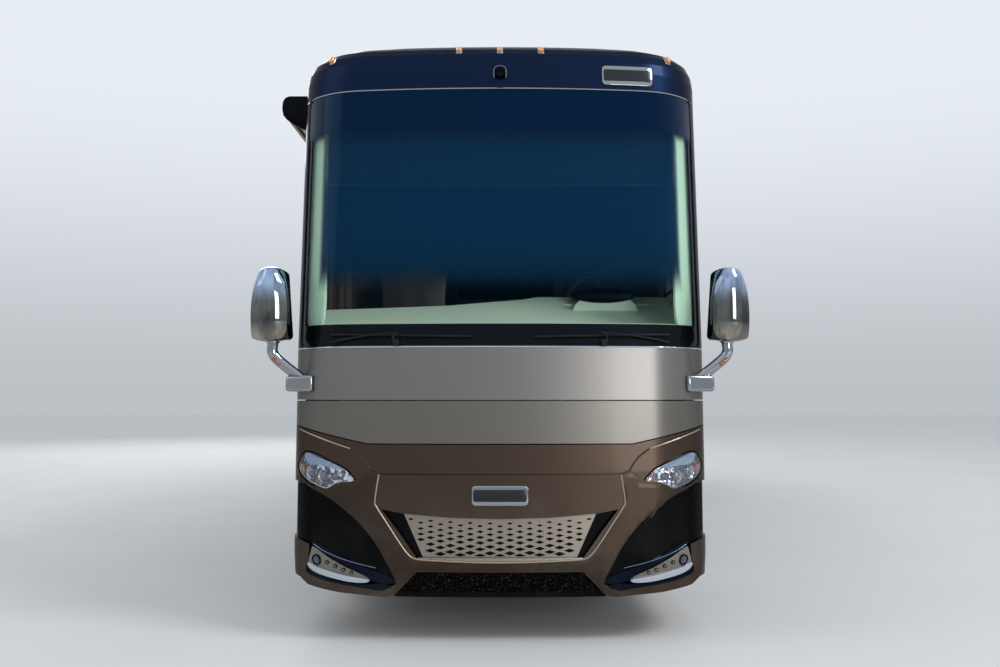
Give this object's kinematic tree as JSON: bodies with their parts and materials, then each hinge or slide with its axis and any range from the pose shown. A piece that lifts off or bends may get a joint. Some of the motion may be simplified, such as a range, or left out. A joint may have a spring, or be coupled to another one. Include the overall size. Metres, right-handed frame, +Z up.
{
  "type": "three-axle rear-engined motorhome",
  "caption": "Large bus-style motorhome with a bowed nose and windscreen, opening basement bays, slide-out rooms, hinged entry door, steered front wheels and a sliding nose section.",
  "frame": {"origin": "on the ground, under the middle of the overall box", "axes": "+Y to the rear, so the nose faces -Y; +X to the driver's side; +Z up"},
  "size_m": [3.0192, 13.697, 3.9205],
  "materials": {
    "coach_paint": "metallic clear-coated paint",
    "mask_paint": "bronze metallic paint",
    "grille_paint": "champagne metallic paint",
    "skirt_paint": "bronze metallic paint",
    "gloss_black": "gloss black",
    "lamp_lens": "clear lens over dark bezel",
    "screen_glass": "green tint",
    "dark_glass": "dark privacy tint",
    "chassis_paint": "satin black",
    "engine_paint": "painted casting",
    "bay_lining": "grey lining",
    "floor_board": "sealed board",
    "roof_skin": "white gel coat",
    "dash_trim": "soft-grained trim",
    "seat_leather": "stitched hide",
    "shade_fabric": "ribbed blind cloth",
    "amber_lens": "amber lens",
    "red_lens": "red lens",
    "roof_shroud": "moulded shroud",
    "awning_case": "painted case",
    "wiper_black": "black arms and blades",
    "mirror_chrome": "chrome plated shell",
    "step_metal": "ribbed tread",
    "tyre_rubber": "tread rubber",
    "rim_alloy": "polished alloy"
  },
  "bodies": {
    "coach": {"front_cap": "coach_paint", "windscreen": "screen_glass", "frame": "chassis_paint", "axles": "chassis_paint", "engine": "engine_paint", "basement": "bay_lining", "floor": "floor_board", "curb_wall": "coach_paint", "driver_wall": "coach_paint", "roof": "roof_skin", "rear_cap": "coach_paint", "side_glass": "dark_glass", "dashboard": "dash_trim", "front_seats": "seat_leather", "sun_shade": "shade_fabric", "clearance_lamps": "amber_lens", "tail_lamps": "red_lens", "roof_units": "roof_shroud", "awning": "awning_case", "wipers": "wiper_black", "hitch_receiver": "chassis_paint", "skirts": "skirt_paint", "mirrors": "mirror_chrome"},
    "nose_unit": {"front_mask": "mask_paint", "grille": "grille_paint", "bumper_inserts": "gloss_black", "front_lamps": "lamp_lens", "generator": "chassis_paint"},
    "entry_door": {"entry_door": "coach_paint", "entry_door_glass": "dark_glass"},
    "entry_step": {"entry_step": "step_metal"},
    "driver_slide": {"driver_slide": "coach_paint", "driver_slide_glass": "dark_glass"},
    "curb_slide": {"curb_slide": "coach_paint", "curb_slide_glass": "dark_glass"},
    "engine_door": {"engine_door": "coach_paint"},
    "knuckle_driver": {"knuckle_driver": "chassis_paint"},
    "knuckle_curb": {"knuckle_curb": "chassis_paint"},
    "tie_rod": {"tie_rod": "chassis_paint"},
    "steering_wheel": {"steering_wheel": "dash_trim"},
    "bay_door_driver_1": {"bay_door_driver_1": "skirt_paint"},
    "bay_door_driver_2": {"bay_door_driver_2": "skirt_paint"},
    "bay_door_driver_3": {"bay_door_driver_3": "skirt_paint"},
    "bay_door_curb_1": {"bay_door_curb_1": "skirt_paint"},
    "bay_door_curb_2": {"bay_door_curb_2": "skirt_paint"},
    "bay_door_curb_3": {"bay_door_curb_3": "skirt_paint"},
    "front_wheel_driver": {"front_tyre_driver": "tyre_rubber", "front_rim_driver": "rim_alloy"},
    "drive_wheel_driver": {"drive_tyre_driver": "tyre_rubber", "drive_rim_driver": "rim_alloy"},
    "tag_wheel_driver": {"tag_tyre_driver": "tyre_rubber", "tag_rim_driver": "rim_alloy"},
    "front_wheel_curb": {"front_tyre_curb": "tyre_rubber", "front_rim_curb": "rim_alloy"},
    "drive_wheel_curb": {"drive_tyre_curb": "tyre_rubber", "drive_rim_curb": "rim_alloy"},
    "tag_wheel_curb": {"tag_tyre_curb": "tyre_rubber", "tag_rim_curb": "rim_alloy"}
  },
  "joints": [
    {"name": "nose_slide", "type": "slide", "parent": "coach", "child": "nose_unit", "axis": [0, -1, 0], "range_m": [0, 0.6]},
    {"name": "entry_door_hinge", "type": "hinge", "parent": "coach", "child": "entry_door", "pos_m": [-1.284, -5.997, 1.675], "axis": [0, 0, 1], "range_deg": [0, 95]},
    {"name": "entry_step_slide", "type": "slide", "parent": "coach", "child": "entry_step", "axis": [-1, 0, 0], "range_m": [0, 0.28]},
    {"name": "driver_slide_out", "type": "slide", "parent": "coach", "child": "driver_slide", "axis": [1, 0, 0], "range_m": [0, 0.65]},
    {"name": "curb_slide_out", "type": "slide", "parent": "coach", "child": "curb_slide", "axis": [-1, 0, 0], "range_m": [0, 0.65]},
    {"name": "engine_door_hinge", "type": "hinge", "parent": "coach", "child": "engine_door", "pos_m": [0, 6.815, 1.628], "axis": [1, 0, 0], "range_deg": [0, 75]},
    {"name": "bay_door_driver_1_hinge", "type": "hinge", "parent": "coach", "child": "bay_door_driver_1", "pos_m": [1.284, -3.327, 0.77], "axis": [0, 0, -1], "range_deg": [0, 90]},
    {"name": "bay_door_driver_2_hinge", "type": "hinge", "parent": "coach", "child": "bay_door_driver_2", "pos_m": [1.284, -1.547, 0.77], "axis": [0, 0, -1], "range_deg": [0, 90]},
    {"name": "bay_door_driver_3_hinge", "type": "hinge", "parent": "coach", "child": "bay_door_driver_3", "pos_m": [1.284, 0.233, 0.77], "axis": [0, 0, -1], "range_deg": [0, 90]},
    {"name": "bay_door_curb_1_hinge", "type": "hinge", "parent": "coach", "child": "bay_door_curb_1", "pos_m": [-1.284, -3.327, 0.77], "axis": [0, 0, 1], "range_deg": [0, 90]},
    {"name": "bay_door_curb_2_hinge", "type": "hinge", "parent": "coach", "child": "bay_door_curb_2", "pos_m": [-1.284, -1.547, 0.77], "axis": [0, 0, 1], "range_deg": [0, 90]},
    {"name": "bay_door_curb_3_hinge", "type": "hinge", "parent": "coach", "child": "bay_door_curb_3", "pos_m": [-1.284, 0.233, 0.77], "axis": [0, 0, 1], "range_deg": [0, 90]},
    {"name": "steer_driver", "type": "hinge", "parent": "coach", "child": "knuckle_driver", "pos_m": [0.96, -4.645, 0.525], "axis": [0, 0, 1], "range_deg": [-36, 36]},
    {"name": "steer_curb", "type": "hinge", "parent": "coach", "child": "knuckle_curb", "pos_m": [-0.96, -4.645, 0.525], "axis": [0, 0, 1], "range_deg": [-36, 36]},
    {"name": "tie_rod_pivot", "type": "hinge", "parent": "knuckle_driver", "child": "tie_rod", "pos_m": [0.96, -4.495, 0.39], "axis": [0, 0, 1], "range_deg": [-36, 36]},
    {"name": "steering_wheel_turn", "type": "hinge", "parent": "coach", "child": "steering_wheel", "pos_m": [0.7, -5.545, 2.114], "axis": [0, 0.8, 0.6], "range_deg": [-648, 648]},
    {"name": "front_wheel_driver_spin", "type": "hinge", "parent": "knuckle_driver", "child": "front_wheel_driver", "pos_m": [1.04, -4.645, 0.525], "axis": [1, 0, 0], "continuous": true},
    {"name": "drive_wheel_driver_spin", "type": "hinge", "parent": "coach", "child": "drive_wheel_driver", "pos_m": [0.905, 2.745, 0.525], "axis": [1, 0, 0], "continuous": true},
    {"name": "tag_wheel_driver_spin", "type": "hinge", "parent": "coach", "child": "tag_wheel_driver", "pos_m": [1.04, 4.015, 0.525], "axis": [1, 0, 0], "continuous": true},
    {"name": "front_wheel_curb_spin", "type": "hinge", "parent": "knuckle_curb", "child": "front_wheel_curb", "pos_m": [-1.04, -4.645, 0.525], "axis": [1, 0, 0], "continuous": true},
    {"name": "drive_wheel_curb_spin", "type": "hinge", "parent": "coach", "child": "drive_wheel_curb", "pos_m": [-0.905, 2.745, 0.525], "axis": [1, 0, 0], "continuous": true},
    {"name": "tag_wheel_curb_spin", "type": "hinge", "parent": "coach", "child": "tag_wheel_curb", "pos_m": [-1.04, 4.015, 0.525], "axis": [1, 0, 0], "continuous": true}
  ],
  "couplings": [
    {"joint": "steer_curb", "follows": "steer_driver", "ratio": 1},
    {"joint": "tie_rod_pivot", "follows": "steer_driver", "ratio": -1},
    {"joint": "steering_wheel_turn", "follows": "steer_driver", "ratio": 18}
  ]
}
